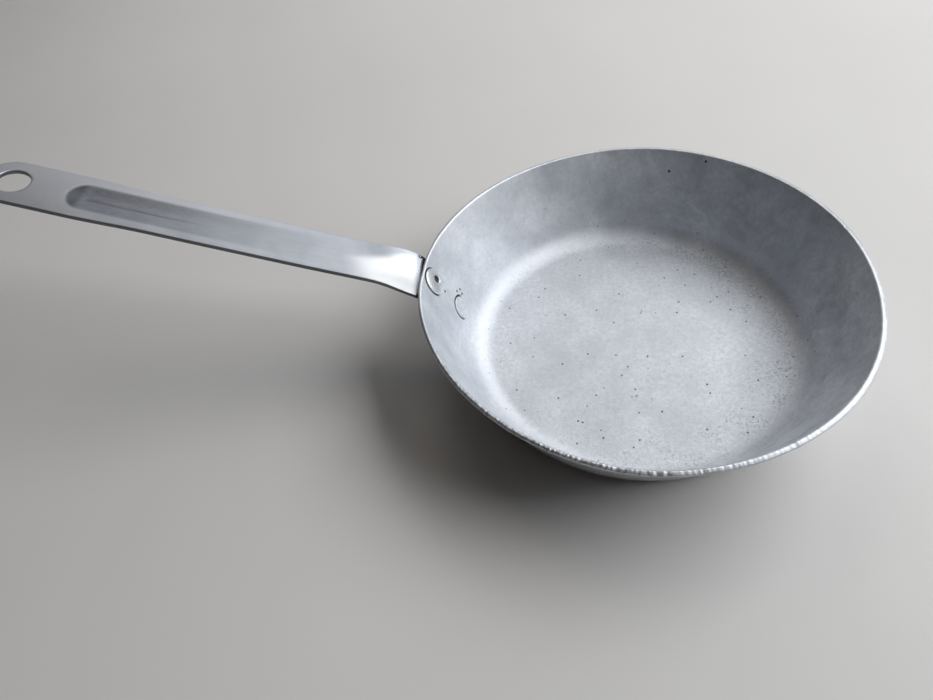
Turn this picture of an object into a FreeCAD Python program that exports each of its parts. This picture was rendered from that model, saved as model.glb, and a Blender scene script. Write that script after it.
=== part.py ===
"""Riveted aluminium frying pan: a one-piece spun pan, a strap handle and the two rivets that join them.

The row's origin is the middle of the underside, +Z is up and the handle points along -X. Every piece is
modelled with the handle along +X, where "out" is the distance from the pan's axis, and is turned at the end.
"""

import os
from math import asin, atan2, cos, degrees, hypot, pi, radians, sin

import FreeCAD
import Part

Vector = FreeCAD.Vector
ORIGIN = Vector(0, 0, 0)
UP = Vector(0, 0, 1)
ACROSS = Vector(0, 1, 0)

# Pan
RIM_RADIUS = 107.7
RIM_EDGE_HEIGHT = 50.5
FLOOR_RADIUS = 78.0
INNER_CORNER = 12.0
OUTER_CORNER = 15.0
WALL = 2.1
BASE = 2.6

# Strap handle
SHEET = 2.5
RISE = radians(15.6)
NECK_RISE = radians(28.0)
NECK_BEND = 90.0
WALL_BEND = 3.5
BEND_DROP = 4.3
LEG_WIDTH = 30.0
LEG_BOTTOM = 38.5
LEG_GAP = 0.05
TRIM = 0.05
TIP_REACH = 330.5
TIP_RADIUS = 15.1
HANG_HOLE_RADIUS = 8.2
NECK_WIDTH = 26.4
GRIP_WIDTH = 27.8

# How far out from the pan's axis each change of the strap's width begins and ends
NECK_TAPER = (110.0, 134.0)
GRIP_TAPER = (134.0, 250.0)
TIP_TAPER = (245.0, 285.0)

# Pressed channel along the top of the handle
CHANNEL_END = 290.5
CHANNEL_HALF_WIDTH = 9.6
CHANNEL_DEPTH = 2.6
CHANNEL_FADE = (140.0, 262.0)
NECK_TROUGH_FADE = (140.0, 215.0)

# Rivets: each drop is how far the rivet is below the rim, along the wall
UPPER_DROP = 7.5
UPPER_HEAD_RADIUS = 7.0
UPPER_HEAD_HEIGHT = 1.6
LOWER_DROP = 30.0
LOWER_HEAD_RADIUS = 6.2
LOWER_HEAD_HEIGHT = 0.6
SHANK_RADIUS = 2.5
DIMPLE_MOUTH_RADIUS = 1.9
DIMPLE_FLOOR_RADIUS = 1.0
DIMPLE_DEPTH = 1.1
TAIL_RADIUS = 4.2
TAIL_HEIGHT = 1.6
HEAD_SKIRT = 0.4

# Spacing of the points that the handle's two faces pass through
STEP_ALONG = 2.0
STEPS_ACROSS = 24

# Sizes of trimming and boring tools, which only have to reach past the part
ARM_REACH = 400.0
ARM_TOOL_HEIGHT = 200.0
LEG_TOOL_LENGTH = 22.0
BORE_LENGTH = 30.0
BORE_START = 8.0

FLARE = RIM_RADIUS - FLOOR_RADIUS
RISE_TO_RIM = RIM_EDGE_HEIGHT - BASE - INNER_CORNER
WALL_LEAN = atan2(FLARE, RISE_TO_RIM) - asin(INNER_CORNER / hypot(FLARE, RISE_TO_RIM))
WALL_UP = Vector(sin(WALL_LEAN), 0, cos(WALL_LEAN))
WALL_OUT = Vector(cos(WALL_LEAN), 0, -sin(WALL_LEAN))
RIM_INNER_EDGE = Vector(RIM_RADIUS, 0, RIM_EDGE_HEIGHT)
RIM_OUTER_EDGE = RIM_INNER_EDGE + WALL_OUT * WALL


def smooth(low, high, value):
    """0 below low, 1 above high, and a smooth rise between them."""
    part = min(max((value - low) / (high - low), 0.0), 1.0)
    return part * part * (3 - 2 * part)


def arc(first, middle, last):
    return Part.Arc(first, middle, last).toShape()


def line(first, last):
    return Part.LineSegment(first, last).toShape()


def corner(centre, radius, angle):
    """The point of a corner's circle that faces down and out by angle from level."""
    return centre + Vector(cos(angle), 0, -sin(angle)) * radius


def pan_shell():
    """The pan without its rivet holes: a flat floor, round corners and a straight cone with a round lip."""
    inner_centre = Vector(FLOOR_RADIUS, 0, BASE + INNER_CORNER)
    inner_start = corner(inner_centre, INNER_CORNER, WALL_LEAN)
    drop = (RIM_OUTER_EDGE.z - OUTER_CORNER * (1 - sin(WALL_LEAN))) / cos(WALL_LEAN)
    outer_start = RIM_OUTER_EDGE - WALL_UP * drop
    outer_centre = outer_start - WALL_OUT * OUTER_CORNER
    halfway = (WALL_LEAN + pi / 2) / 2
    lip_top = (RIM_INNER_EDGE + RIM_OUTER_EDGE) * 0.5 + WALL_UP * (WALL / 2)
    profile = Part.Wire(
        [
            line(Vector(0, 0, BASE), Vector(FLOOR_RADIUS, 0, BASE)),
            arc(Vector(FLOOR_RADIUS, 0, BASE), corner(inner_centre, INNER_CORNER, halfway), inner_start),
            line(inner_start, RIM_INNER_EDGE),
            arc(RIM_INNER_EDGE, lip_top, RIM_OUTER_EDGE),
            line(RIM_OUTER_EDGE, outer_start),
            arc(outer_start, corner(outer_centre, OUTER_CORNER, halfway), Vector(outer_centre.x, 0, 0)),
            line(Vector(outer_centre.x, 0, 0), ORIGIN),
            line(ORIGIN, Vector(0, 0, BASE)),
        ]
    )
    return Part.Face(profile).revolve(ORIGIN, UP, 360)


def handle_path():
    """The middle line of the handle's top face, from the leg's lower end to the tip.

    Returns points, each with the top face's normal there: up the wall, round a tight bend, round the long
    bend of the neck, and straight to the tip.
    """
    start = RIM_OUTER_EDGE + WALL_OUT * LEG_GAP - WALL_UP * (LEG_BOTTOM + STEP_ALONG)
    place, slope = start, pi / 2 - WALL_LEAN
    stretches = [
        (LEG_BOTTOM + STEP_ALONG - BEND_DROP, 0.0, STEP_ALONG),
        (WALL_BEND * (slope - NECK_RISE), WALL_BEND, STEP_ALONG / 4),
        (NECK_BEND * (NECK_RISE - RISE), NECK_BEND, STEP_ALONG),
    ]
    path = [(place, slope)]
    for length, radius, step in stretches:
        count = max(int(length / step), 1)
        for _ in range(count):
            turn = length / count / radius if radius else 0.0
            middle = slope - turn / 2
            chord = 2 * radius * sin(turn / 2) if radius else length / count
            place = place + Vector(cos(middle), 0, sin(middle)) * chord
            slope = slope - turn
            path.append((place, slope))
    straight = (TIP_REACH + STEP_ALONG - place.x) / cos(slope)
    count = int(straight / STEP_ALONG)
    for _ in range(count):
        place = place + Vector(cos(slope), 0, sin(slope)) * (straight / count)
        path.append((place, slope))
    return [(point, Vector(-sin(angle), 0, cos(angle))) for point, angle in path]


def strap_width(out):
    """Width of the strap: wide at the pan and at the tip, with a waist at the neck."""
    flare = (LEG_WIDTH - NECK_WIDTH) * (1 - smooth(*NECK_TAPER, out))
    grip = (GRIP_WIDTH - NECK_WIDTH) * smooth(*GRIP_TAPER, out)
    end = (2 * TIP_RADIUS - GRIP_WIDTH) * smooth(*TIP_TAPER, out)
    return NECK_WIDTH + flare + grip + end


def press_depth(out, across):
    """How far the pressed channel sinks the sheet below the flat of the strap."""
    depth = CHANNEL_DEPTH * smooth(*CHANNEL_FADE, out)
    half = CHANNEL_HALF_WIDTH
    beyond = max(out - (CHANNEL_END - half * cos(RISE)), 0.0) / cos(RISE)
    away = min(hypot(across, beyond) / half, 1.0)
    return depth * (1 - away * away) ** 1.5


def trough_lift(out, across):
    """How far the strap's edges curl up, to wrap round the pan's wall and run out along the neck."""
    curl = cos(WALL_LEAN) / min(out, RIM_RADIUS) * (1 - smooth(*NECK_TROUGH_FADE, out))
    return curl * across * across / 2


def strap_rows(depth):
    """Rows of points across the strap at this depth below its top face."""
    rows = []
    for point, normal in handle_path():
        width = strap_width(point.x)
        row = []
        for step in range(STEPS_ACROSS + 1):
            across = width * (step / STEPS_ACROSS - 0.5)
            lift = trough_lift(point.x, across) - press_depth(point.x, across) - depth
            row.append(point + normal * lift + ACROSS * across)
        rows.append(row)
    return rows


def smooth_face(rows):
    surface = Part.BSplineSurface()
    surface.interpolate(rows)
    return surface


def strap_blank():
    """The bent and pressed sheet with square ends."""
    top = smooth_face(strap_rows(0.0))
    bottom = smooth_face(strap_rows(SHEET))
    u_ends = top.bounds()[:2]
    v_ends = top.bounds()[2:]
    faces = [top.toShape(), bottom.toShape()]
    for u in u_ends:
        faces.append(Part.makeRuledSurface(top.uIso(u).toShape(), bottom.uIso(u).toShape()))
    for v in v_ends:
        faces.append(Part.makeRuledSurface(top.vIso(v).toShape(), bottom.vIso(v).toShape()))
    shell = Part.Compound(faces)
    shell.sewShape()
    solid = Part.makeSolid(shell.Shells[0])
    solid.fix(1e-4, 1e-4, 1e-3)
    return solid


def rounded_bar(end, along, normal, radius, length, thick):
    """A thick bar with one round end, centred on end, and a wider stretch that runs back from there."""
    wide = 2 * radius
    back = end - along * length - normal * (thick / 2) - ACROSS * wide
    frame = FreeCAD.Matrix(
        along.x, 0, normal.x, back.x,
        along.y, 1, normal.y, back.y,
        along.z, 0, normal.z, back.z,
        0, 0, 0, 1,
    )
    bar = Part.makeBox(length, 2 * wide, thick)
    bar.Placement = FreeCAD.Placement(frame)
    return bar.fuse(Part.makeCylinder(radius, thick, end - normal * (thick / 2), normal))


def tip_centre():
    """Centre of the tip's round end on the top face, and the face's normal."""
    place, normal = handle_path()[-1]
    back = (place.x - TIP_REACH) / cos(RISE) + TIP_RADIUS
    return place - Vector(cos(RISE), 0, sin(RISE)) * back, normal


def rivet_place(drop):
    """Where a rivet's axis meets the inside of the pan's wall."""
    return RIM_INNER_EDGE - WALL_UP * drop


def with_rivet_holes(shape):
    """Bores both rivet holes, which run square through the wall and the leg."""
    for drop in (UPPER_DROP, LOWER_DROP):
        start = rivet_place(drop) - WALL_OUT * BORE_START
        shape = shape.cut(Part.makeCylinder(SHANK_RADIUS, BORE_LENGTH, start, WALL_OUT))
    return shape


def handle():
    centre, normal = tip_centre()
    along = Vector(cos(RISE), 0, sin(RISE))
    leg_round = LEG_WIDTH / 2
    leg_end = RIM_OUTER_EDGE - WALL_UP * (LEG_BOTTOM - leg_round)
    strap = strap_blank()
    strap = strap.common(rounded_bar(centre, along, normal, TIP_RADIUS - TRIM, ARM_REACH, ARM_TOOL_HEIGHT))
    keep_leg = rounded_bar(leg_end, WALL_UP * -1, WALL_OUT, leg_round - TRIM, LEG_TOOL_LENGTH, BORE_LENGTH)
    arm_corner = Vector(leg_end.x - SHEET, -2 * LEG_WIDTH, leg_end.z)
    keep_arm = Part.makeBox(ARM_REACH, 4 * LEG_WIDTH, ARM_TOOL_HEIGHT, arm_corner)
    strap = strap.common(keep_leg.fuse(keep_arm))
    bore_start = centre - normal * (BORE_LENGTH / 2)
    strap = strap.cut(Part.makeCylinder(HANG_HOLE_RADIUS, BORE_LENGTH, bore_start, normal))
    return with_rivet_holes(strap)


def dome(base, direction, radius, height):
    """A shallow round cap of a sphere that stands on base."""
    ball = (radius * radius + height * height) / (2 * height)
    sphere = Part.makeSphere(ball, base + direction * (height - ball))
    return sphere.common(Part.makeCylinder(radius, height * 1.5, base, direction))


def rivet(base, head_radius, head_height, body, strap):
    """A rivet with its made head inside the pan and its hammered tail on the leg."""
    inward = WALL_OUT * -1
    grip = WALL + LEG_GAP + SHEET
    tail_base = base + WALL_OUT * grip
    shank = Part.makeCylinder(SHANK_RADIUS, grip, base, WALL_OUT)
    head = Part.makeCylinder(head_radius, HEAD_SKIRT, base + WALL_OUT * HEAD_SKIRT, inward)
    head = head.fuse(dome(base, inward, head_radius, head_height))
    tail = Part.makeCylinder(TAIL_RADIUS, HEAD_SKIRT, tail_base - WALL_OUT * HEAD_SKIRT, WALL_OUT)
    tail = tail.fuse(dome(tail_base, WALL_OUT, TAIL_RADIUS, TAIL_HEIGHT))
    ends = head.cut(body).fuse(tail.cut(strap))
    return ends.fuse(shank).removeSplitter()


def rivet_upper(body, strap):
    """The rivet at the rim, whose domed head has a dimple in its middle."""
    base = rivet_place(UPPER_DROP)
    solid = rivet(base, UPPER_HEAD_RADIUS, UPPER_HEAD_HEIGHT, body, strap)
    top = base - WALL_OUT * UPPER_HEAD_HEIGHT
    return solid.cut(Part.makeCone(DIMPLE_MOUTH_RADIUS, DIMPLE_FLOOR_RADIUS, DIMPLE_DEPTH, top, WALL_OUT))


def rivet_lower(body, strap):
    """The rivet halfway down the wall, hammered almost level with it."""
    base = rivet_place(LOWER_DROP)
    return rivet(base, LOWER_HEAD_RADIUS, LOWER_HEAD_HEIGHT, body, strap)


def main():
    body = with_rivet_holes(pan_shell())
    strap = handle()
    pieces = {
        "pan_body": body,
        "handle": strap,
        "rivet_upper": rivet_upper(body, strap),
        "rivet_lower": rivet_lower(body, strap),
    }
    os.makedirs("parts", exist_ok=True)
    for name, shape in pieces.items():
        shape = shape.Solids[0] if len(shape.Solids) == 1 else shape
        shape.rotate(ORIGIN, UP, 180)
        shape.exportStep("parts/" + name + ".step")
        box = shape.BoundBox
        print(name, shape.isValid(), len(shape.Solids), round(shape.Volume), box)
    print("wall lean", round(degrees(WALL_LEAN), 2))


main()
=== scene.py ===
from math import asin, atan2, ceil, cos, exp, hypot, pi, radians, sin, tan

import bmesh
import bpy
from mathutils import Matrix, Vector, noise


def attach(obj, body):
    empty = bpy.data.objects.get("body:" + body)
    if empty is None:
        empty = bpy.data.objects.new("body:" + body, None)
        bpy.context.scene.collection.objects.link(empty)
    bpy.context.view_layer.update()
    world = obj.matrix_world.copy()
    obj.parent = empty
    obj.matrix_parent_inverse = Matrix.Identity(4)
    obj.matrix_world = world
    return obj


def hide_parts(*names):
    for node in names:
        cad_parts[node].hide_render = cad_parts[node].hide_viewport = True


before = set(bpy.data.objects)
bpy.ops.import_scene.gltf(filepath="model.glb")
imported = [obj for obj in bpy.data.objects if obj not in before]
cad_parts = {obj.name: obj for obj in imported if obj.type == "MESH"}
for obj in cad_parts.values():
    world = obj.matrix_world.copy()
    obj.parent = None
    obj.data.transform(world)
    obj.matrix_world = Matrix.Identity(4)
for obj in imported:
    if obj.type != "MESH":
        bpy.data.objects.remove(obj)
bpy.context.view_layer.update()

MM = 0.001

# Pan, in millimetres as in the CAD model
RIM_RADIUS = 107.7
RIM_EDGE_HEIGHT = 50.5
FLOOR_RADIUS = 78.0
INNER_CORNER = 12.0
OUTER_CORNER = 15.0
WALL = 2.1
BASE = 2.6

# Strap handle
SHEET = 2.5
RISE = radians(15.6)
NECK_RISE = radians(28.0)
NECK_BEND = 90.0
WALL_BEND = 3.5
BEND_DROP = 4.3
LEG_WIDTH = 30.0
LEG_BOTTOM = 38.5
LEG_GAP = 0.05
TIP_REACH = 330.5
TIP_RADIUS = 15.1
HANG_HOLE_RADIUS = 8.2
NECK_WIDTH = 26.4
GRIP_WIDTH = 27.8
CHANNEL_END = 289.5
CHANNEL_HALF_WIDTH = 9.6
CHANNEL_DEPTH = 2.1
CREASE_DEPTH = 0.3
CREASE_FADE = (195.0, 265.0)
CREASE_MARK_FADE = (212.0, 245.0)
TARNISH_FADE = (180.0, 288.0)
FIRST_TARNISH_FADE = (150.0, 190.0)
CHANNEL_FADE = (140.0, 262.0)
NECK_TROUGH_FADE = (125.0, 175.0)
EDGE_ROUND = 0.4

# Bending the strap folded up the far side of the neck and dished its middle
FOLD_LIFT = 1.0
FOLD_WIDTH = (0.0, 12.0)
FOLD_START = (106.0, 115.0)
FOLD_END = (117.0, 146.0)
DISH_DEPTH = 0.6
DISH_WIDTH = 11.0

# A painted highlight on the neck, which hands and scouring also polished, from this far out to the bend,
# less far on its two sides
HIGHLIGHT_START = 152.0
HIGHLIGHT_FAR_SLANT = 2.9
HIGHLIGHT_NEAR_SLANT = 0.6
HIGHLIGHT_BLEND = (14.0, 3.0)

# How far out from the pan's axis each change of the strap's width begins and ends
NECK_TAPER = (110.0, 134.0)
GRIP_TAPER = (134.0, 250.0)
TIP_TAPER = (245.0, 285.0)

# Rivets: the lower one went in aslant, so its head is to the side of its shank and below it
UPPER_DROP = 7.5
UPPER_HEAD_RADIUS = 7.0
LOWER_DROP = 32.8
LOWER_ACROSS = -3.9
LOWER_SHANK_DROP = 30.0
LOWER_HEAD_RADIUS = 6.2
PUNCH_SHIFT = 1.4
SHANK_RADIUS = 2.5
TAIL_RADIUS = 4.2
TAIL_HEIGHT = 1.6

# Wear: the top of the wall is pulled out where the handle hangs on it, and flattened behind the strap
PULL = 2.7
PULL_SPREAD = radians(22)
PULL_HEIGHT = (32.5, 58.5)
FLATTENED = 0.6
FLATTENED_WIDTH = 8.0
BEND_SLACK = 2.2
BEND_TWIST = 0.15

# Wear: the rim is a little out of round, and the spun wall is thinner below its lip
ROUND_ERROR = 0.3
OVAL, OVAL_TURN = 0.35, radians(90)
THREE_SIDED, THREE_SIDED_TURN = 0.4, radians(45)
SIX_SIDED, SIX_SIDED_TURN = 0.25, radians(27)
THINNING = 1.1
LIP_BULGE = 0.7
SCRUBBED_CORNER = 16.0
ROUGH_RIM_TURN = radians(246)
ROUGH_RIM_SPREAD = radians(38)
KNOCK_TURNS = (radians(21.5), radians(272.5), radians(302))
KNOCK_WIDTH = 0.9
KNOCK_DEPTH = 0.35

# Steps round a ring of the pan, steps round a rivet, and steps across the strap
RIM_STEPS = 1152
RIVET_STEPS = 72
ROWS_ACROSS = 36

# Tones of the metal and of what is on it, and of painted shade and highlights
# The first tone is dirt in the wall's spots, and painted shade round the rivets, in the upper rivet's dimple
# and in the gaps behind the strap
DIRT_AND_SHADE = (0.03, 0.03, 0.033)
PAN_DULL, PAN_PALE = (0.67, 0.70, 0.75), (0.94, 0.965, 1.0)
FLECKS = (0.46, 0.485, 0.52)
STAINS = (0.40, 0.425, 0.43)
PITS = (0.06, 0.06, 0.07)
SCRUBBED = (0.48, 0.50, 0.53)
BATTERED = (0.32, 0.32, 0.34)
# The next tone is painted shade on the outside of the wall, and the one after it a painted highlight on the
# rubbed top of the lip
SHADED_OUTSIDE = (0.40, 0.40, 0.41)
RUBBED_RIM_HIGHLIGHT = (0.86, 0.885, 0.92)
STRAP_DULL, STRAP_PALE = (0.575, 0.615, 0.685), (0.675, 0.715, 0.78)
BRUSHED = (0.45, 0.48, 0.53)
GRAINY = (0.44, 0.465, 0.505)
PALE_TIP = (0.825, 0.865, 0.945)
# Next: the channel's tarnish, also painted shade on the neck's far side; a painted highlight on the polished
# neck; the cut sides, also painted shade at the channel's end and crease
TARNISHED_AND_SHADED = (0.15, 0.16, 0.185)
POLISHED_HIGHLIGHT = (0.95, 0.965, 0.985)
CUT_SIDE_AND_SHADE = (0.105, 0.11, 0.12)
RIVET_PALE, RIVET_DULL = (0.84, 0.86, 0.89), (0.66, 0.68, 0.71)
FLOOR_DULL, FLOOR_PALE = (0.86, 0.845, 0.83), (0.90, 0.885, 0.87)
COOL_LIGHT, WARM_LIGHT = (0.97, 0.985, 1.0), (1.0, 0.93, 0.86)
ROOM = (1.0, 0.88, 0.78)

# Dark spots on the wall: the way round from the side away from the handle, the height, and how far out
WALL_SPOTS = (
    (radians(69), 48.0, 0.0),
    (radians(79.5), 40.0, 0.0),
    (radians(172.5), 25.8, 0.0),
    (radians(173), 23.3, 0.0),
    (radians(174.3), 27.3, 0.0),
    (radians(179.3), 35.5, 0.0),
    (radians(272.5), 46.5, 3.7),
    (radians(302), 47.5, 3.7),
)
SPOT_RADIUS = 0.8

FLARE = RIM_RADIUS - FLOOR_RADIUS
RISE_TO_RIM = RIM_EDGE_HEIGHT - BASE - INNER_CORNER
WALL_LEAN = atan2(FLARE, RISE_TO_RIM) - asin(INNER_CORNER / hypot(FLARE, RISE_TO_RIM))
WALL_UP = Vector((sin(WALL_LEAN), 0, cos(WALL_LEAN)))
WALL_OUT = Vector((cos(WALL_LEAN), 0, -sin(WALL_LEAN)))
RIM_INNER_EDGE = Vector((RIM_RADIUS, 0, RIM_EDGE_HEIGHT))
RIM_OUTER_EDGE = RIM_INNER_EDGE + WALL_OUT * WALL


def smooth(low, high, value):
    """0 below low, 1 above high, and a smooth rise between them."""
    part = min(max((value - low) / (high - low), 0.0), 1.0)
    return part * part * (3 - 2 * part)


def out_of_round(turn):
    """How far the rim stands outside its true circle; turn starts at the side away from the handle."""
    oval = OVAL * cos(2 * (turn - OVAL_TURN))
    three = THREE_SIDED * cos(3 * (turn - THREE_SIDED_TURN))
    return ROUND_ERROR + oval + three + SIX_SIDED * cos(6 * (turn - SIX_SIDED_TURN))


def pulled(point):
    """Where wear has moved a point of the pan, or of what is riveted to it, with the handle along +X."""
    out = hypot(point.x, point.y)
    if out < 1e-6:
        return point.copy()
    turn = atan2(point.y, point.x)
    reach = 1 - smooth(RIM_RADIUS + 6, RIM_RADIUS + 30, out)
    by_handle = exp(-((turn / PULL_SPREAD) ** 2))
    push = PULL - FLATTENED * exp(-((point.y / FLATTENED_WIDTH) ** 2))
    push *= by_handle * smooth(*PULL_HEIGHT, point.z)
    push += smooth(8.0, RIM_EDGE_HEIGHT, point.z) * out_of_round(turn + pi)
    push *= reach
    return Vector((point.x * (1 + push / out), point.y * (1 + push / out), point.z))


def finish_mesh(name, bm, material, node):
    """Turns the handle side to -X, scales to metres and makes the object that stands for the CAD node."""
    bmesh.ops.recalc_face_normals(bm, faces=bm.faces)
    bm.transform(Matrix.Rotation(pi, 4, "Z"))
    bm.transform(Matrix.Scale(MM, 4))
    mesh = bpy.data.meshes.new(name)
    bm.to_mesh(mesh)
    bm.free()
    mesh.shade_smooth()
    piece = bpy.data.objects.new(name, mesh)
    bpy.context.scene.collection.objects.link(piece)
    mesh.materials.append(material)
    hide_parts(node)
    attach(piece, "root")
    return piece


# ---- pan ----


def arc_points(centre, radius, first, last, count):
    """Points on an arc in the out-and-up plane; angles are measured downwards from level."""
    angles = [first + (last - first) * step / count for step in range(count + 1)]
    return [(centre[0] + radius * cos(angle), centre[1] - radius * sin(angle)) for angle in angles]


def run_points(first, last, spacing):
    """Evenly spaced points on a straight run, without its first point."""
    count = max(ceil(hypot(last[0] - first[0], last[1] - first[1]) / spacing), 1)
    return [
        (first[0] + (last[0] - first[0]) * step / count, first[1] + (last[1] - first[1]) * step / count)
        for step in range(1, count + 1)
    ]


def pan_profile():
    """The pan's section from the middle of its floor, over the rim, to the middle of its underside."""
    widened = (SCRUBBED_CORNER - INNER_CORNER) * tan((pi / 2 - WALL_LEAN) / 2)
    corner_start = FLOOR_RADIUS - widened
    inner = (corner_start, BASE + SCRUBBED_CORNER)
    drop = (RIM_OUTER_EDGE.z - OUTER_CORNER * (1 - sin(WALL_LEAN))) / cos(WALL_LEAN)
    outer_start = RIM_OUTER_EDGE - WALL_UP * drop
    outer = outer_start - WALL_OUT * OUTER_CORNER
    lip = (RIM_INNER_EDGE + RIM_OUTER_EDGE) * 0.5
    points = [(2.0, BASE)]
    points += run_points(points[-1], (corner_start, BASE), 3.0)
    points += arc_points(inner, SCRUBBED_CORNER, pi / 2, WALL_LEAN, 18)[1:]
    fine = 4.0
    near_rim = RIM_INNER_EDGE - WALL_UP * fine
    points += run_points(points[-1], (near_rim.x, near_rim.z), 1.4)
    points += run_points(points[-1], (RIM_INNER_EDGE.x, RIM_INNER_EDGE.z), 0.6)
    points += arc_points((lip.x, lip.z), WALL / 2, WALL_LEAN - pi, WALL_LEAN, 12)[1:]
    near_rim = RIM_OUTER_EDGE - WALL_UP * fine
    points += run_points(points[-1], (near_rim.x, near_rim.z), 0.6)
    points += run_points(points[-1], (outer_start.x, outer_start.z), 1.8)
    points += arc_points((outer.x, outer.z), OUTER_CORNER, WALL_LEAN, pi / 2, 14)[1:]
    points += run_points(points[-1], (2.0, 0.0), 4.0)
    return points


def ring_count(out, height):
    """How many steps a ring of the pan has: many at the rim, where the nicks are, and few at the middle."""
    if height > RIM_EDGE_HEIGHT - 4.5:
        return RIM_STEPS
    if out > FLOOR_RADIUS - 4:
        return RIM_STEPS // 2
    return RIM_STEPS // 4 if out > 20 else RIM_STEPS // 8


def apart(turn, other):
    """The angle between two directions, from 0 to pi."""
    return abs((turn - other + pi) % (2 * pi) - pi)


def rim_nick(turn, height):
    """How deep the rim's edge is worn here: nicks all round, and a battered stretch at the near left."""
    edge = smooth(RIM_EDGE_HEIGHT - 3.4, RIM_EDGE_HEIGHT + 0.4, height)
    if edge == 0:
        return 0.0
    place = Vector((cos(turn), sin(turn), 0)) * RIM_RADIUS
    battered = exp(-((apart(turn + pi, ROUGH_RIM_TURN) / ROUGH_RIM_SPREAD) ** 2))
    broad = max(noise.noise(place * 0.9) + 0.1, 0.0)
    fine = max(noise.noise(place * 2.1), 0.0)
    nicks = (0.15 + 0.7 * battered) * (broad + (0.9 + 0.5 * battered) * fine)
    knocks = 0.0
    for knock in KNOCK_TURNS:
        away = apart(turn + pi, knock) * RIM_RADIUS
        knocks += KNOCK_DEPTH * exp(-((away / KNOCK_WIDTH) ** 2))
    return edge * (nicks + knocks)


def dent(point):
    """How uneven wear has left the metal at this place, in soft shallow dents."""
    return 0.16 * noise.noise(point * 0.035) + 0.05 * noise.noise(point * 0.12 + Vector((9, 2, 5)))


def outside_wear(turn, height):
    """How far the outside of the wall stands out: less along the thinned wall, more at the lip."""
    from_handle = apart(turn, 0)
    thin = THINNING * smooth(1.0, 9.0, height) * (1 - smooth(34.0, 46.0, height))
    thin *= smooth(radians(16), radians(40), from_handle)
    lip = LIP_BULGE * smooth(RIM_EDGE_HEIGHT - 5.5, RIM_EDGE_HEIGHT - 1.5, height)
    lip *= smooth(radians(10), radians(16), from_handle)
    lip *= 0.35 + 0.65 * smooth(-0.45, 0.3, -cos(turn))
    return lip - thin


def pan_bmesh():
    """The worn pan, marked where its outside is, which the material darkens as painted shade, and where
    painted shade falls in the gap behind the strap's leg.
    """
    bm = bmesh.new()
    leg_gap_shade = bm.verts.layers.float.new("leg_gap_shade")
    rings = []
    outer = bm.verts.layers.float.new("outer")
    outside = False
    for out, height in pan_profile():
        outside = outside or out > RIM_OUTER_EDGE.x - 0.2
        count = ring_count(out, height)
        ring = []
        for step in range(count):
            turn = 2 * pi * step / count
            outwards = Vector((cos(turn), sin(turn), 0))
            point = outwards * out + Vector((0, 0, height - rim_nick(turn, height)))
            if height > BASE - 0.1:
                flat = 1 - smooth(FLOOR_RADIUS - 4, FLOOR_RADIUS + 14, out)
                uneven = dent(Vector((point.x, point.y, height * 1.5)))
                point += Vector((0, 0, uneven * flat)) + outwards * uneven * (1 - flat)
            if outside:
                point += outwards * outside_wear(turn, height)
            vert = bm.verts.new(pulled(point))
            # the outside below the lip is marked for painted shade
            if outside:
                vert[outer] = 1 - smooth(RIM_EDGE_HEIGHT - 3, RIM_EDGE_HEIGHT + 0.2, height)
            # painted shade in the gap between the strap's leg and the outside of the wall
            if outside and point.x > 0:
                hidden = 1 - smooth(LEG_WIDTH / 2 - 2, LEG_WIDTH / 2 - 0.5, abs(point.y))
                vert[leg_gap_shade] = hidden * smooth(RIM_EDGE_HEIGHT - 13, RIM_EDGE_HEIGHT - 9, height)
            ring.append(vert)
        rings.append(ring)
    for first, second in zip(rings, rings[1:]):
        join_rings(bm, first, second)
    for ring, height in ((rings[0], BASE), (rings[-1], 0.0)):
        middle = bm.verts.new((0, 0, height))
        for step in range(len(ring)):
            bm.faces.new((middle, ring[step - 1], ring[step]))
    return bm


def join_rings(bm, first, second):
    """Fills between two rings, of which one may have twice as many points as the other."""
    if len(first) == len(second):
        for step in range(len(first)):
            bm.faces.new((first[step - 1], first[step], second[step], second[step - 1]))
        return
    few, many = (first, second) if len(first) < len(second) else (second, first)
    for step in range(len(few)):
        after = (step + 1) % len(few)
        middle = many[2 * step + 1]
        bm.faces.new((few[step], many[2 * step], middle))
        bm.faces.new((few[step], middle, few[after]))
        bm.faces.new((few[after], middle, many[(2 * step + 2) % len(many)]))


# ---- handle ----


def path_place(along):
    """Point and normal of the handle's top face at this distance from the leg's lower end."""
    leg = LEG_BOTTOM - BEND_DROP
    tight = WALL_BEND * (pi / 2 - WALL_LEAN - NECK_RISE)
    long_bend = NECK_BEND * (NECK_RISE - RISE)
    place = RIM_OUTER_EDGE + WALL_OUT * LEG_GAP - WALL_UP * LEG_BOTTOM
    slope = pi / 2 - WALL_LEAN
    for length, radius in ((leg, 0), (tight, WALL_BEND), (long_bend, NECK_BEND), (1000, 0)):
        part = min(along, length)
        if radius:
            turn = part / radius
            chord = Vector((cos(slope - turn / 2), 0, sin(slope - turn / 2))) * (2 * radius * sin(turn / 2))
            place = place + chord
            slope -= turn
        else:
            place = place + Vector((cos(slope), 0, sin(slope))) * part
        along -= part
        if along <= 0:
            break
    return place, Vector((-sin(slope), 0, cos(slope)))


def tip_along():
    """Distance along the path to the handle's very end."""
    far = 280.0
    place, _ = path_place(far)
    return far + (TIP_REACH - place.x) / cos(RISE)


def strap_width(out):
    """Width of the strap: wide at the pan and at the tip, with a waist at the neck."""
    flare = (LEG_WIDTH - NECK_WIDTH) * (1 - smooth(*NECK_TAPER, out))
    grip = (GRIP_WIDTH - NECK_WIDTH) * smooth(*GRIP_TAPER, out)
    end = (2 * TIP_RADIUS - GRIP_WIDTH) * smooth(*TIP_TAPER, out)
    return NECK_WIDTH + flare + grip + end


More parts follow.
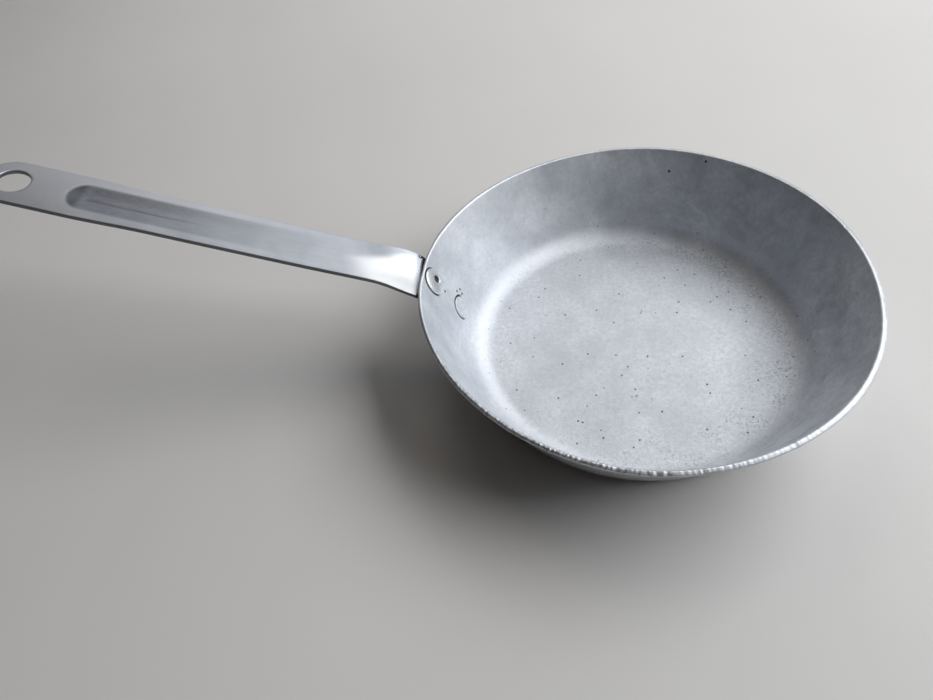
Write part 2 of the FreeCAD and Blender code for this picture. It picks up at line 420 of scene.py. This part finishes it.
def beyond_channel(out):
    """How far past the start of the channel's round end this is, along the strap."""
    return max(out - (CHANNEL_END - CHANNEL_HALF_WIDTH * cos(RISE)), 0.0) / cos(RISE)


def channel_reach(out, across):
    """0 on the channel's middle line, 1 at its edge."""
    return hypot(across, beyond_channel(out)) / CHANNEL_HALF_WIDTH


def press_depth(out, across):
    """How far the pressed channel sinks the sheet below the flat of the strap."""
    depth = CHANNEL_DEPTH * smooth(*CHANNEL_FADE, out)
    away = min(channel_reach(out, across), 1.0)
    crease = CREASE_DEPTH * smooth(*CREASE_FADE, out) * exp(-((across / 0.7) ** 2))
    crease *= 1 - smooth(2, 8, beyond_channel(out))
    return depth * (1 - away * away) ** 1.5 + crease


def trough_lift(out, across):
    """How far the strap's edges curl up, to wrap round the pan's wall and run out along the neck."""
    curl = cos(WALL_LEAN) / min(out, RIM_RADIUS) * (1 - smooth(*NECK_TROUGH_FADE, out))
    neck = smooth(*FOLD_START, out) * (1 - smooth(*FOLD_END, out))
    folded = FOLD_LIFT * smooth(*FOLD_WIDTH, -across) * neck
    dished = DISH_DEPTH * (1 - smooth(0, DISH_WIDTH, abs(across - 1))) * neck
    return curl * across * across / 2 + folded - dished


def stand_off(along, across):
    """How far the worn strap stands off the wall, most at its bend and on its far side."""
    bend = LEG_BOTTOM - BEND_DROP
    slack = smooth(bend - 14, bend + 1, along) * (1 - smooth(bend + 2, bend + 40, along))
    return slack * max(BEND_SLACK - BEND_TWIST * across, 0.0)


def bent(flat):
    """The place in the bent and pressed handle of a point of the flat sheet: along, across and down."""
    place, normal = path_place(flat.x)
    lift = trough_lift(place.x, flat.y) - press_depth(place.x, flat.y) + flat.z
    return pulled(place + normal * lift + Vector((stand_off(flat.x, flat.y), flat.y, 0)))


def outline_width(along):
    return strap_width(path_place(along)[0].x)


def row_across(along):
    """The points of one row across the flat sheet."""
    half = outline_width(along) / 2
    return [Vector((along, half * (2 * step / ROWS_ACROSS - 1), 0)) for step in range(ROWS_ACROSS + 1)]


def ring_about(centre, radius, join, end):
    """The outline of one end of the sheet, across the join and round the end, and the hole inside it."""
    side = 1 if end > join else -1
    half = outline_width(join) / 2
    round_centre = end - side * outline_width(end - side * half) / 2
    outline = row_across(join)
    steps = max(round(abs(round_centre - join)), 1)
    for step in range(1, steps + 1):
        along = join + (round_centre - join) * step / steps
        outline.append(Vector((along, outline_width(along) / 2, 0)))
    radius_end = abs(end - round_centre)
    arc = 40
    for step in range(1, arc):
        angle = pi / 2 - pi * step / arc
        outline.append(Vector((round_centre + side * radius_end * cos(angle), radius_end * sin(angle), 0)))
    for step in range(steps, 0, -1):
        along = join + (round_centre - join) * step / steps
        outline.append(Vector((along, -outline_width(along) / 2, 0)))
    hole = []
    for point in outline:
        away = Vector((point.x - centre, point.y, 0)).normalized()
        hole.append(Vector((centre, 0, 0)) + away * radius)
    return outline, hole


def flat_sheet():
    """The handle before bending: a sheet with two round ends, a hanging hole and a rivet hole."""
    bm = bmesh.new()
    tip = tip_along()
    hang = tip - TIP_RADIUS
    rivet = LEG_BOTTOM - LOWER_SHANK_DROP
    first, last = rivet + 9.0, hang - 19.0
    alongs = [first]
    while alongs[-1] < last - 1.5:
        by_bend = -1 < alongs[-1] - (LEG_BOTTOM - BEND_DROP) < 4
        alongs.append(alongs[-1] + (0.35 if by_bend else 1.0))
    alongs.append(last)
    grid = [[bm.verts.new(point) for point in row_across(along)] for along in alongs]
    for one, two in zip(grid, grid[1:]):
        for step in range(ROWS_ACROSS):
            bm.faces.new((one[step], one[step + 1], two[step + 1], two[step]))
    layers = 9
    ends = ((hang, HANG_HOLE_RADIUS, last, tip), (rivet, SHANK_RADIUS, first, 0.0))
    for centre, radius, join, end in ends:
        outline, hole = ring_about(centre, radius, join, end)
        rings = []
        for layer in range(layers + 1):
            part = layer / layers
            rings.append([bm.verts.new(edge.lerp(inner, part)) for edge, inner in zip(outline, hole)])
        for one, two in zip(rings, rings[1:]):
            for step in range(len(one)):
                bm.faces.new((one[step - 1], one[step], two[step], two[step - 1]))
    bmesh.ops.remove_doubles(bm, verts=bm.verts, dist=0.01)
    return bm


def thicken(bm):
    """Gives the flat sheet its thickness and rounds all its edges."""
    bmesh.ops.recalc_face_normals(bm, faces=bm.faces)
    solid = bmesh.ops.extrude_face_region(bm, geom=list(bm.faces), use_keep_orig=True)
    lower = [item for item in solid["geom"] if isinstance(item, bmesh.types.BMVert)]
    bmesh.ops.translate(bm, verts=lower, vec=(0, 0, -SHEET))
    bmesh.ops.recalc_face_normals(bm, faces=bm.faces)
    bm.normal_update()
    sharp = [edge for edge in bm.edges if len(edge.link_faces) == 2 and edge.calc_face_angle() > 1.2]
    bmesh.ops.bevel(
        bm, geom=sharp, offset=EDGE_ROUND, segments=3, profile=0.5, affect="EDGES", clamp_overlap=True
    )


def handle_marks(flat):
    """What marks a point of the strap: tarnish with painted shade on the neck's far side, painted shade on
    the cut sides, channel end and crease, painted shade in the gap behind the bend, and polish with a
    painted highlight.
    """
    out = path_place(flat.x)[0].x
    reach = channel_reach(out, flat.y)
    beyond = beyond_channel(out)
    dirty = 0.2 * smooth(*FIRST_TARNISH_FADE, out) + 0.8 * smooth(*TARNISH_FADE, out)
    # painted shade on the far half of the neck
    fold_shade = 0.38 * smooth(1, 6, -flat.y) * smooth(108, 111, out) * (1 - smooth(134, 152, out))
    tarnish_and_shade = (1 - smooth(0.84, 1.06, reach)) * dirty + fold_shade
    # painted shade along the crease
    crease = 0.4 * exp(-((flat.y / 0.6) ** 2)) * smooth(*CREASE_MARK_FADE, out) * (1 - smooth(0, 4, beyond))
    # painted shade on the channel's round end
    end_wall_shade = 0.86 * smooth(0, 5, beyond) * (1 - smooth(0.86, 1.04, reach))
    # the cut sides, darker as cut metal and as painted shade
    side_wall = smooth(0.1, 0.5, -flat.z) * (1 - smooth(SHEET - 0.5, SHEET - 0.1, -flat.z))
    bend_at = LEG_BOTTOM - BEND_DROP
    # painted shade in the gap behind the bend
    bend_gap_shade = (1 - smooth(0.1, 0.6, -flat.z)) * smooth(bend_at - 9, bend_at - 5, flat.x)
    bend_gap_shade *= 1 - smooth(bend_at + 0.6, bend_at + 2.2, flat.x)
    # painted highlight on the neck, which is also polished
    start = HIGHLIGHT_START + HIGHLIGHT_FAR_SLANT * min(flat.y, 0) - HIGHLIGHT_NEAR_SLANT * max(flat.y, 0)
    polish_and_highlight = 1 - smooth(start - HIGHLIGHT_BLEND[0], start + HIGHLIGHT_BLEND[1], out)
    polish_and_highlight *= smooth(110, 113, out)
    return tarnish_and_shade, max(side_wall, end_wall_shade, crease), bend_gap_shade, polish_and_highlight


def handle_bmesh():
    """The handle, with its marks in vertex layers that the material reads."""
    bm = flat_sheet()
    thicken(bm)
    layers = [bm.verts.layers.float.new(name) for name in ("tarnish_and_shade", "cut_and_shade", "bend_gap_shade", "polish_and_highlight")]
    for vert in bm.verts:
        flat = vert.co.copy()
        for layer, amount in zip(layers, handle_marks(flat)):
            vert[layer] = amount
        vert.co = bent(flat)
    return bm


# ---- rivets ----


def lathe(outline, count, axis_place, axis):
    """A turned solid: outline is (radius, height) pairs, from the middle of one end to that of the other."""
    bm = bmesh.new()
    side = Vector((0, 1, 0))
    other = axis.cross(side)
    rings = []
    for radius, height in outline[1:-1]:
        ring = []
        for step in range(count):
            turn = 2 * pi * step / count
            spoke = side * cos(turn) + other * sin(turn)
            ring.append(bm.verts.new(axis_place + spoke * radius + axis * height))
        rings.append(ring)
    for one, two in zip(rings, rings[1:]):
        for step in range(count):
            bm.faces.new((one[step - 1], one[step], two[step], two[step - 1]))
    for ring, height in ((rings[0], outline[0][1]), (rings[-1], outline[-1][1])):
        middle = bm.verts.new(axis_place + axis * height)
        for step in range(count):
            bm.faces.new((middle, ring[step - 1], ring[step]))
    return bm


def rivet_outline(head):
    """Radius and height pairs: the head inside the pan, the shank, and the tail outside the leg."""
    grip = WALL + LEG_GAP + SHEET
    angles = [part * pi / 16 for part in range(8, 0, -1)]
    tail = [(TAIL_RADIUS * sin(angle), -grip - TAIL_HEIGHT * cos(angle)) for angle in angles]
    shank = [(SHANK_RADIUS, height) for height in (-0.1, -WALL + 0.2, -grip + 0.1)]
    return head + shank + tail + [(0, -grip - TAIL_HEIGHT)]


def upper_head():
    """A low round head with a dimple in its middle."""
    edge = UPPER_HEAD_RADIUS
    dimple = [(0, 0.2), (1.3, 0.24), (1.75, 0.5), (2.05, 1.1), (2.35, 1.55)]
    crown = [(2.8, 1.66), (3.6, 1.54), (4.7, 1.32), (5.7, 1.05), (edge - 0.6, 0.82)]
    return dimple + crown + [(edge - 0.2, 0.62), (edge, 0.35), (edge - 0.1, -0.2)]


def lower_head():
    """A head that is hammered almost level with the wall."""
    edge = LOWER_HEAD_RADIUS
    face = [(0, 0.4), (1.8, 0.42), (3.6, 0.41), (edge - 1.2, 0.4), (edge - 0.5, 0.36)]
    return face + [(edge - 0.1, 0.22), (edge, 0.0), (edge - 0.1, -0.3)]


def rivet_place(drop, across):
    """Where a rivet's axis meets the inside of the wall, before wear."""
    return RIM_INNER_EDGE - WALL_UP * drop + Vector((0, across, 0))


def rivet_bmesh(shank_drop, head_drop, head_across, head, punch_shift):
    """A rivet set in the worn wall; punch_shift is how far its head's middle was struck off centre."""
    place = rivet_place(shank_drop, 0)
    slide = rivet_place(head_drop, head_across) - place
    bm = lathe(rivet_outline(head), RIVET_STEPS, place, WALL_OUT * -1)
    for vert in bm.verts:
        offset = vert.co - place
        depth = offset.dot(WALL_OUT)
        if depth < 0:
            away = (offset - WALL_OUT * depth).length
            vert.co.y -= punch_shift * (1 - smooth(2.0, 6.2, away))
        if depth < 0.5:
            vert.co += slide
        if depth > WALL:
            drop = (RIM_INNER_EDGE - vert.co).dot(WALL_UP)
            vert.co.x += stand_off(LEG_BOTTOM - drop, vert.co.y)
        vert.co = pulled(vert.co)
    return bm


# ---- materials ----


class Graph:
    """A short way to write a material's nodes."""

    def __init__(self, name):
        self.material = bpy.data.materials.new(name)
        self.material.use_nodes = True
        self.nodes = self.material.node_tree.nodes
        self.links = self.material.node_tree.links
        self.shader = self.nodes["Principled BSDF"]

    def add(self, kind, **settings):
        node = self.nodes.new(kind)
        for key, value in settings.items():
            setattr(node, key, value)
        return node

    def link(self, source, target):
        self.links.new(source, target)

    def place(self, scale=(1, 1, 1), turn=(0, 0, 0)):
        """Object coordinates, turned and then scaled."""
        where = self.add("ShaderNodeTexCoord").outputs["Object"]
        mapping = self.add("ShaderNodeMapping", vector_type="TEXTURE")
        mapping.inputs["Rotation"].default_value = turn
        mapping.inputs["Scale"].default_value = [1 / value for value in scale]
        self.link(where, mapping.inputs["Vector"])
        return mapping.outputs["Vector"]

    def noise(self, vector, scale, detail=4.0, rough=0.55, distortion=0.0):
        node = self.add("ShaderNodeTexNoise")
        node.inputs["Scale"].default_value = scale
        node.inputs["Detail"].default_value = detail
        node.inputs["Roughness"].default_value = rough
        node.inputs["Distortion"].default_value = distortion
        self.link(vector, node.inputs["Vector"])
        return node.outputs["Fac"]

    def ramp(self, value, low, high, first, last):
        """Maps value from low..high to first..last, clamped."""
        node = self.add("ShaderNodeMapRange")
        node.inputs["From Min"].default_value = low
        node.inputs["From Max"].default_value = high
        node.inputs["To Min"].default_value = first
        node.inputs["To Max"].default_value = last
        self.link(value, node.inputs["Value"])
        return node.outputs["Result"]

    def math(self, operation, first, second=None):
        node = self.add("ShaderNodeMath", operation=operation)
        for socket, value in zip(node.inputs, (first, second)):
            if isinstance(value, (int, float)):
                socket.default_value = value
            elif value is not None:
                self.link(value, socket)
        return node.outputs["Value"]

    def times(self, first, *others):
        """The product of two or more masks or numbers."""
        for other in others:
            first = self.math("MULTIPLY", first, other)
        return first

    def mix(self, amount, first, second):
        node = self.add("ShaderNodeMix", data_type="RGBA")
        for socket, value in zip((node.inputs[0], node.inputs[6], node.inputs[7]), (amount, first, second)):
            if isinstance(value, (int, float)):
                socket.default_value = value
            elif isinstance(value, tuple):
                socket.default_value = (*value, 1)
            else:
                self.link(value, socket)
        return node.outputs[2]

    def spots(self, vector, scale, size):
        """1 in small round spots scattered at this scale, 0 elsewhere."""
        node = self.add("ShaderNodeTexVoronoi", feature="F1")
        node.inputs["Scale"].default_value = scale
        self.link(vector, node.inputs["Vector"])
        return self.ramp(node.outputs["Distance"], size * 0.5, size, 1.0, 0.0), node.outputs["Color"]

    def attribute(self, name):
        return self.add("ShaderNodeAttribute", attribute_name=name).outputs["Fac"]

    def distance_to(self, point):
        where = self.add("ShaderNodeTexCoord").outputs["Object"]
        node = self.add("ShaderNodeVectorMath", operation="DISTANCE")
        node.inputs[1].default_value = point
        self.link(where, node.inputs[0])
        return node.outputs["Value"]

    def along(self, axis):
        """The distance along an axis of the object."""
        split = self.add("ShaderNodeSeparateXYZ")
        self.link(self.add("ShaderNodeTexCoord").outputs["Object"], split.inputs[0])
        return split.outputs[axis]

    def height_mask(self, low, high):
        """1 at heights on low's side, 0 on high's side."""
        return self.ramp(self.along("Z"), low, high, 1, 0)

    def rivet_shade_ring(self, centre, radius):
        """Painted shade: a broken dark ring round a rivet's head, on the side towards the rim and towards
        -Y.
        """
        away = self.math("SUBTRACT", self.distance_to(centre), radius)
        ring = self.ramp(self.math("ABSOLUTE", away), 0.00045, 0.0009, 1, 0)
        above = self.times(self.math("SUBTRACT", self.along("Z"), centre.z), 0.8)
        beside = self.times(self.math("SUBTRACT", centre.y, self.along("Y")), 0.6)
        side = self.ramp(self.math("ADD", above, beside), -radius * 0.3, radius * 0.1, 0.0, 1)
        broken = self.ramp(self.noise(self.place(), 260, 3, 0.6), 0.36, 0.5, 0.7, 1)
        return self.times(ring, side, broken)

    def bump(self, height, strength, distance, under=None):
        node = self.add("ShaderNodeBump")
        node.inputs["Strength"].default_value = strength
        node.inputs["Distance"].default_value = distance
        self.link(height, node.inputs["Height"])
        if under is not None:
            self.link(under, node.inputs["Normal"])
        return node.outputs["Normal"]


def seen_place(point):
    """A point of the model, in millimetres with the handle along +X, as object coordinates in metres."""
    worn = pulled(point)
    return Vector((-worn.x, -worn.y, worn.z)) * MM


def pan_stains(g, tone, plain, speckle):
    """Flecks, stains, pits, a painted highlight with scouring wear along the inside corner, and a scrubbed
    ring inside the pan; also gives the pits, for the bump.
    """
    low = g.height_mask(0.005, 0.014)
    to_right = g.ramp(g.along("X"), -0.04, 0.06, 0.35, 1)
    flecked = g.times(g.ramp(speckle, 0.38, 0.72, 0, 0.5), g.ramp(low, 0, 1, 0.75, 1))
    flecked = g.times(flecked, g.ramp(to_right, 0.35, 1, 0.8, 1.05))
    tone = g.mix(flecked, tone, FLECKS)
    below_rim = g.ramp(g.height_mask(0.046, 0.012), 0, 0.2, 0.4, 1)
    on_wall = g.times(g.math("SUBTRACT", 1.0, low), below_rim)
    stain = g.ramp(g.noise(plain, 52, 5, 0.65, 0.6), 0.46, 0.66, 0, 0.42)
    tone = g.mix(g.times(stain, on_wall, to_right), tone, STAINS)
    pits, pick = g.spots(plain, 220, 0.15)
    clusters = g.ramp(g.noise(plain, 20, 3, 0.6), 0.44, 0.6, 0.7, 0.46)
    clusters = g.math("SUBTRACT", g.math("ADD", clusters, 0.03), g.times(to_right, 0.09))
    pit = g.times(pits, g.math("GREATER_THAN", pick, clusters))
    pit = g.times(pit, g.math("ADD", g.times(low, 0.8), 0.2))
    tone = g.mix(g.times(pit, 0.85), tone, PITS)
    # painted highlight, with scouring wear: the inside corner lighter
    corner = g.times(g.height_mask(0.0045, 0.0095), g.height_mask(0.0032, 0.0026))
    tone = g.mix(g.times(corner, 0.36), tone, PAN_PALE)
    from_middle = g.distance_to(Vector((0, 0, BASE)) * MM)
    ring = g.times(g.ramp(from_middle, 0.052, 0.072, 0, 1), g.ramp(from_middle, 0.080, 0.086, 1, 0))
    scratches = g.ramp(g.noise(plain, 700, 4, 0.8), 0.5, 0.6, 0, 1)
    patches = g.ramp(g.noise(plain, 70, 3, 0.6), 0.38, 0.58, 0.25, 1)
    return g.mix(g.times(ring, scratches, patches, to_right), tone, SCRUBBED), pit


def wall_spots(g, tone):
    """The larger dark spots on the wall and the rim."""
    for turn, height, outward in WALL_SPOTS:
        out = RIM_RADIUS - (RIM_EDGE_HEIGHT - height) * tan(WALL_LEAN) + outward
        spot = g.distance_to(seen_place(Vector((-out * cos(turn), -out * sin(turn), height))))
        spot = g.ramp(spot, SPOT_RADIUS * 0.5 * MM, SPOT_RADIUS * 1.2 * MM, 0.95, 0)
        tone = g.mix(spot, tone, DIRT_AND_SHADE)
    return tone


def rim_wear(g, tone, plain):
    """The battered stretch, painted shade on the outside, painted shade round the rivets and behind the
    strap's leg, and a painted highlight on the rubbed edge.
    """
    middle = Vector((cos(ROUGH_RIM_TURN), sin(ROUGH_RIM_TURN), 0)) * RIM_RADIUS
    battered = g.distance_to((middle + Vector((0, 0, RIM_EDGE_HEIGHT))) * MM)
    battered = g.times(g.ramp(battered, 0.045, 0.08, 0.65, 0), g.height_mask(0.0506, 0.0486))
    ragged = g.ramp(g.noise(plain, 620, 3, 0.6), 0.49, 0.56, 0, 1)
    tone = g.mix(g.times(battered, ragged), tone, BATTERED)
    # painted shade: the outside of the wall darker
    tone = g.mix(g.times(g.attribute("outer"), 0.5), tone, SHADED_OUTSIDE)
    # painted shade round the rivet heads and in the gap behind the strap's leg
    upper = g.rivet_shade_ring(seen_place(rivet_place(UPPER_DROP, 0)), (UPPER_HEAD_RADIUS + 0.35) * MM)
    lower = seen_place(rivet_place(LOWER_DROP, LOWER_ACROSS))
    lower = g.rivet_shade_ring(lower, (LOWER_HEAD_RADIUS + 0.3) * MM)
    painted_shade = g.math("MAXIMUM", g.math("MAXIMUM", upper, lower), g.attribute("leg_gap_shade"))
    tone = g.mix(painted_shade, tone, DIRT_AND_SHADE)
    # painted highlight, with rubbing wear: the top of the lip lighter
    edge = g.height_mask((RIM_EDGE_HEIGHT + 0.7) * MM, (RIM_EDGE_HEIGHT + 0.2) * MM)
    edge = g.times(edge, g.ramp(g.noise(plain, 300, 3, 0.6), 0.35, 0.65, 0.1, 0.6))
    return g.mix(edge, tone, RUBBED_RIM_HIGHLIGHT)


def pan_material():
    """Dull, cloudy aluminium with a fine grain and small dark pits, painted shade round the rivets, behind
    the strap and on the outside, and painted highlights at the inside corner and the lip's top.
    """
    g = Graph("pan_aluminium")
    plain = g.place()
    clouds = g.noise(plain, 34, 5, 0.6, 0.3)
    broad = g.noise(plain, 11, 3, 0.5)
    speckle = g.noise(plain, 420, 5, 0.8)
    grain = g.noise(plain, 1300, 3, 0.7)
    tone = g.mix(g.ramp(clouds, 0.27, 0.73, 0, 1), PAN_DULL, PAN_PALE)
    tone, pit = pan_stains(g, tone, plain, speckle)
    tone = rim_wear(g, wall_spots(g, tone), plain)
    g.link(tone, g.shader.inputs["Base Color"])
    rough = g.ramp(broad, 0.3, 0.7, 0.60, 0.70)
    rough = g.math("ADD", rough, g.ramp(clouds, 0.3, 0.7, -0.04, 0.06))
    rubbed = g.height_mask((RIM_EDGE_HEIGHT + 0.3) * MM, (RIM_EDGE_HEIGHT - 1.6) * MM)
    rough = g.math("SUBTRACT", rough, g.times(rubbed, 0.08))
    bright = g.height_mask((RIM_EDGE_HEIGHT + 0.75) * MM, (RIM_EDGE_HEIGHT + 0.35) * MM)
    rough = g.math("SUBTRACT", rough, g.times(bright, 0.1))
    g.link(rough, g.shader.inputs["Roughness"])
    normal = g.bump(grain, 0.4, 0.00015)
    normal = g.bump(speckle, 0.4, 0.0003, normal)
    normal = g.bump(g.times(pit, -1.0), 0.6, 0.0003, normal)
    g.link(normal, g.shader.inputs["Normal"])
    g.shader.inputs["Metallic"].default_value = 1.0
    return g.material


def bend_shade(g, plain):
    """Painted shade in the gap behind the bend, and broken specks of it at the strap's two corners there."""
    painted_shade = g.attribute("bend_gap_shade")
    for side in (-1, 1):
        corner = bent(Vector((LEG_BOTTOM - BEND_DROP + 1.8, side * (LEG_WIDTH / 2 - 0.6), 0)))
        near = g.distance_to(Vector((-corner.x, -corner.y, corner.z)) * MM)
        crumbs = g.ramp(g.noise(plain, 800, 2, 0.5), 0.42, 0.47, 0, 1)
        painted_shade = g.math("MAXIMUM", painted_shade, g.times(g.ramp(near, 0.0016, 0.0026, 1, 0), crumbs))
    return painted_shade


def handle_material():
    """Aluminium strap, brushed along its length, tarnished in its channel and polished at its neck, with
    painted shade on the neck's far side, the cut sides and behind the bend, and a painted highlight on the
    neck.
    """
    g = Graph("handle_aluminium")
    along = g.place((5, 300, 300), (0, RISE, 0))
    plain = g.place()
    lines = g.noise(along, 4, 5, 0.65)
    clouds = g.noise(plain, 45, 4, 0.55, 0.3)
    grain = g.noise(plain, 900, 3, 0.7)
    tone = g.mix(g.ramp(clouds, 0.35, 0.65, 0, 1), STRAP_DULL, STRAP_PALE)
    tone = g.mix(g.ramp(lines, 0.5, 0.75, 0, 0.35), tone, BRUSHED)
    tone = g.mix(g.ramp(grain, 0.55, 0.8, 0, 0.3), tone, GRAINY)
    to_tip = g.ramp(g.along("X"), -0.15, -0.25, 0, 0.9)
    tone = g.mix(g.times(to_tip, g.ramp(g.along("Y"), -0.012, 0.011, 0.1, 1)), tone, PALE_TIP)
    patchy = g.ramp(g.noise(g.place((60, 400, 400), (0, RISE, 0)), 3, 4, 0.6), 0.3, 0.6, 0.75, 1)
    # tarnish, and painted shade on the neck's far side
    tarnish_and_shade = g.times(g.attribute("tarnish_and_shade"), patchy)
    tone = g.mix(g.times(tarnish_and_shade, 0.66), tone, TARNISHED_AND_SHADED)
    # painted highlight on the polished neck
    tone = g.mix(g.attribute("polish_and_highlight"), tone, POLISHED_HIGHLIGHT)
    # cut sides, with painted shade
    tone = g.mix(g.attribute("cut_and_shade"), tone, CUT_SIDE_AND_SHADE)
    # painted shade behind the bend
    tone = g.mix(bend_shade(g, plain), tone, DIRT_AND_SHADE)
    g.link(tone, g.shader.inputs["Base Color"])
    rough = g.ramp(lines, 0.3, 0.7, 0.44, 0.54)
    rough = g.math("ADD", rough, g.times(tarnish_and_shade, 0.12))
    rough = g.math("SUBTRACT", rough, g.times(g.attribute("polish_and_highlight"), 0.06))
    g.link(rough, g.shader.inputs["Roughness"])
    normal = g.bump(lines, 0.2, 0.00025)
    normal = g.bump(grain, 0.15, 0.00012, normal)
    g.link(normal, g.shader.inputs["Normal"])
    g.shader.inputs["Metallic"].default_value = 1.0
    return g.material


def rivet_material():
    """Soft aluminium, hammered and slightly stained, with painted shade in the upper head's dimple."""
    g = Graph("rivet_aluminium")
    plain = g.place()
    blows = g.noise(plain, 420, 3, 0.6)
    tone = g.mix(g.ramp(blows, 0.4, 0.7, 0, 1), RIVET_PALE, RIVET_DULL)
    # painted shade in the upper head's dimple
    middle = g.distance_to(seen_place(rivet_place(UPPER_DROP, -PUNCH_SHIFT) - WALL_OUT * 0.4))
    tone = g.mix(g.ramp(middle, 0.0020, 0.0024, 0.95, 0), tone, DIRT_AND_SHADE)
    g.link(tone, g.shader.inputs["Base Color"])
    g.link(g.ramp(blows, 0.3, 0.7, 0.36, 0.5), g.shader.inputs["Roughness"])
    g.link(g.bump(blows, 0.25, 0.0002), g.shader.inputs["Normal"])
    g.shader.inputs["Metallic"].default_value = 1.0
    return g.material


def floor_material():
    """A plain pale painted top with the faintest mottling."""
    g = Graph("pale_floor")
    mottle = g.noise(g.place(), 5, 4, 0.5)
    tone = g.mix(g.ramp(mottle, 0.3, 0.7, 0, 1), FLOOR_DULL, FLOOR_PALE)
    g.link(tone, g.shader.inputs["Base Color"])
    g.shader.inputs["Roughness"].default_value = 0.6
    return g.material


# ---- stage ----


def floor():
    """A broad flat top for the pan to stand on."""
    bm = bmesh.new()
    bmesh.ops.create_grid(bm, x_segments=8, y_segments=8, size=2.5)
    mesh = bpy.data.meshes.new("floor")
    bm.to_mesh(mesh)
    bm.free()
    mesh.materials.append(floor_material())
    ground = bpy.data.objects.new("floor", mesh)
    ground.location.z = -0.0001
    bpy.context.scene.collection.objects.link(ground)


def soft_light(name, azimuth, elevation, size, power, colour=COOL_LIGHT, distance=1.3):
    """A soft box that faces the pan from this direction; azimuth is measured from +X towards +Y."""
    level = distance * cos(radians(elevation))
    place = (
        level * cos(radians(azimuth)),
        level * sin(radians(azimuth)),
        distance * sin(radians(elevation)),
    )
    data = bpy.data.lights.new(name, "AREA")
    data.shape = "RECTANGLE"
    data.size, data.size_y = size
    data.energy = power
    data.color = colour
    lamp = bpy.data.objects.new(name, data)
    lamp.location = place
    lamp.rotation_euler = Vector(place).to_track_quat("Z", "Y").to_euler()
    bpy.context.scene.collection.objects.link(lamp)


def lights():
    """One broad window light, four soft fills and a dim room."""
    soft_light("window", 23, 47, (1.96, 0.92), 23.2, distance=1.7)
    soft_light("right_fill", 4, 20, (0.7, 0.4), 2.6)
    soft_light("back_fill", 92, 36, (0.7, 0.7), 1.8)
    soft_light("top_fill", 122, 60, (0.5, 0.5), 0.8, WARM_LIGHT)
    soft_light("left_fill", 120, 13, (0.6, 0.35), 0.4, WARM_LIGHT)
    world = bpy.data.worlds.new("room")
    world.use_nodes = True
    background = world.node_tree.nodes["Background"]
    background.inputs["Color"].default_value = (*ROOM, 1)
    background.inputs["Strength"].default_value = 0.017
    bpy.context.scene.world = world
    bpy.context.scene.view_settings.view_transform = "Standard"


def camera():
    """A hand-held view from in front of the pan, a little to the handle's side, looking down into it."""
    data = bpy.data.cameras.new("camera")
    data.sensor_width = 36
    data.lens = 27.0
    view = bpy.data.objects.new("camera", data)
    bpy.context.scene.collection.objects.link(view)
    heading, pitch, roll = radians(14.8), radians(49.41), radians(-8.8)
    forward = Vector((-sin(heading) * cos(pitch), cos(heading) * cos(pitch), -sin(pitch)))
    right = forward.cross(Vector((0, 0, 1))).normalized()
    up = right.cross(forward)
    turned_right = right * cos(roll) + up * sin(roll)
    turned_up = up * cos(roll) - right * sin(roll)
    turn = Matrix((turned_right, turned_up, -forward)).transposed()
    view.matrix_world = Matrix.Translation((-0.0259, -0.2572, 0.2989)) @ turn.to_4x4()
    bpy.context.scene.camera = view


def main():
    camera()
    lights()
    floor()
    finish_mesh("pan_visual", pan_bmesh(), pan_material(), "pan_body")
    finish_mesh("handle_visual", handle_bmesh(), handle_material(), "handle")
    rivets = rivet_material()
    upper = rivet_bmesh(UPPER_DROP, UPPER_DROP, 0.0, upper_head(), PUNCH_SHIFT)
    finish_mesh("rivet_upper_visual", upper, rivets, "rivet_upper")
    lower = rivet_bmesh(LOWER_SHANK_DROP, LOWER_DROP, LOWER_ACROSS, lower_head(), 0.0)
    finish_mesh("rivet_lower_visual", lower, rivets, "rivet_lower")


main()
